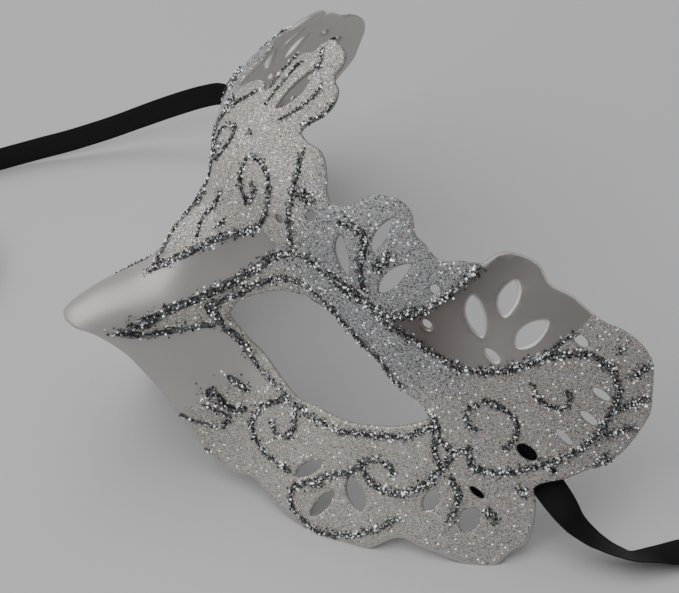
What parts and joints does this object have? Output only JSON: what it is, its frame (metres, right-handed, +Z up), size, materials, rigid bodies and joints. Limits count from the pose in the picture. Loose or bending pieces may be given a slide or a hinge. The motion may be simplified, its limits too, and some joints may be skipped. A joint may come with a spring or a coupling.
{
  "type": "venetian eye mask",
  "caption": "Half-face party mask standing on its lower lobes, with a scrolled crest, pierced leaves, glitter, silver scroll lines and two black ribbon ties.",
  "frame": {"origin": "on the surface that the mask stands on, under the middle of the mask's box", "axes": "+X to the wearer's left, +Y from the face to the back of the head, +Z up"},
  "size_m": [0.2209, 0.25, 0.1102],
  "materials": {
    "glitter_plastic": "pearl white plastic with fine glitter and raised silver glitter lines",
    "black_satin": "black satin ribbon"
  },
  "bodies": {
    "root": {"mask": "glitter_plastic", "ribbon_left": "black_satin", "ribbon_left_end": "black_satin", "ribbon_left_coil": "black_satin", "ribbon_right": "black_satin", "ribbon_right_end": "black_satin", "ribbon_right_coil": "black_satin"}
  },
  "joints": []
}
